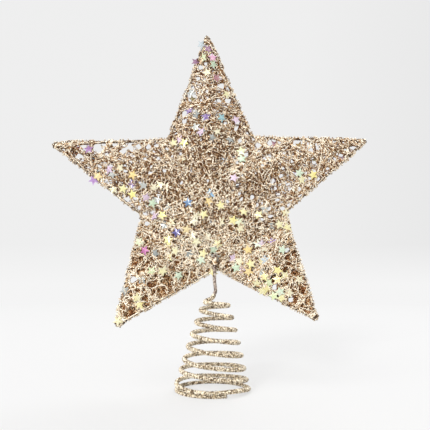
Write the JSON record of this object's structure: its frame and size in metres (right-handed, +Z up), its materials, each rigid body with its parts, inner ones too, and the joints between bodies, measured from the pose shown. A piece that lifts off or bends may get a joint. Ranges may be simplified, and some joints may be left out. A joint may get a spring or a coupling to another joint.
{
  "type": "christmas tree topper",
  "caption": "Five-pointed wire star wound with glitter thread and star sequins, on a conical wire spring that slips over the top twig of a tree.",
  "frame": {"origin": "bottom centre of the whole object, on the surface that the spring stands on", "axes": "+Z up towards the star's top point, star's front towards -Y, +X to the right seen from the front"},
  "size_m": [0.2224, 0.0514, 0.2496],
  "materials": {
    "coil_wire": "satin",
    "stem_wire": "satin",
    "outline_wire": "satin",
    "rib_wire": "satin",
    "glitter_thread": "satin",
    "foil_yellow": "gloss",
    "foil_mint": "gloss",
    "foil_lilac": "gloss",
    "foil_silver": "gloss",
    "foil_gold": "gloss",
    "foil_blue": "gloss",
    "foil_pink": "gloss"
  },
  "bodies": {
    "spring_foot": {"coil_lower": "coil_wire"},
    "spring_middle": {"coil_middle": "coil_wire"},
    "spring_neck": {"coil_top": "coil_wire"},
    "star": {"stem_wire": "stem_wire", "stem_binding": "glitter_thread", "outline_top_a": "outline_wire", "outline_top_b": "outline_wire", "outline_right_a": "outline_wire", "outline_right_b": "outline_wire", "outline_lower_right_a": "outline_wire", "outline_lower_right_b": "outline_wire", "outline_lower_left_a": "outline_wire", "outline_lower_left_b": "outline_wire", "outline_left_a": "outline_wire", "outline_left_b": "outline_wire", "front_rib_top": "rib_wire", "front_rib_right": "rib_wire", "front_rib_lower_right": "rib_wire", "front_rib_lower_left": "rib_wire", "front_rib_left": "rib_wire", "back_rib_top": "rib_wire", "back_rib_right": "rib_wire", "back_rib_lower_right": "rib_wire", "back_rib_lower_left": "rib_wire", "back_rib_left": "rib_wire", "front_web_top": "glitter_thread", "front_web_right": "glitter_thread", "front_web_lower_right": "glitter_thread", "front_web_lower_left": "glitter_thread", "front_web_left": "glitter_thread", "back_web_top": "glitter_thread", "back_web_right": "glitter_thread", "back_web_lower_right": "glitter_thread", "back_web_lower_left": "glitter_thread", "back_web_left": "glitter_thread", "sequin_01": "foil_lilac", "sequin_02": "foil_pink", "sequin_03": "foil_pink", "sequin_04": "foil_silver", "sequin_05": "foil_lilac", "sequin_06": "foil_yellow", "sequin_07": "foil_mint", "sequin_08": "foil_yellow", "sequin_09": "foil_mint", "sequin_10": "foil_lilac", "sequin_11": "foil_gold", "sequin_12": "foil_yellow", "sequin_13": "foil_mint", "sequin_14": "foil_yellow", "sequin_15": "foil_mint", "sequin_16": "foil_blue", "sequin_17": "foil_yellow", "sequin_18": "foil_blue", "sequin_19": "foil_pink", "sequin_20": "foil_yellow", "sequin_21": "foil_yellow", "sequin_22": "foil_pink", "sequin_23": "foil_gold", "sequin_24": "foil_yellow"}
  },
  "joints": [
    {"name": "spring_press", "type": "slide", "parent": "spring_foot", "child": "spring_middle", "axis": [0, 0, 1], "range_m": [-0.015, 0], "stiffness_N_per_m": 120, "springref_m": 0.0075, "deforming": ["coil_lower"]},
    {"name": "spring_sway", "type": "hinge", "parent": "spring_middle", "child": "spring_neck", "pos_m": [0.00368, 0.00006, 0.035], "axis": [0, 1, 0], "range_deg": [-12, 12], "stiffness_Nm_per_rad": 0.5, "deforming": ["coil_middle"]},
    {"name": "spring_nod", "type": "hinge", "parent": "spring_neck", "child": "star", "pos_m": [0.00428, 0.00006, 0.05], "axis": [1, 0, 0], "range_deg": [-12, 12], "stiffness_Nm_per_rad": 0.5, "deforming": ["coil_top"]}
  ]
}
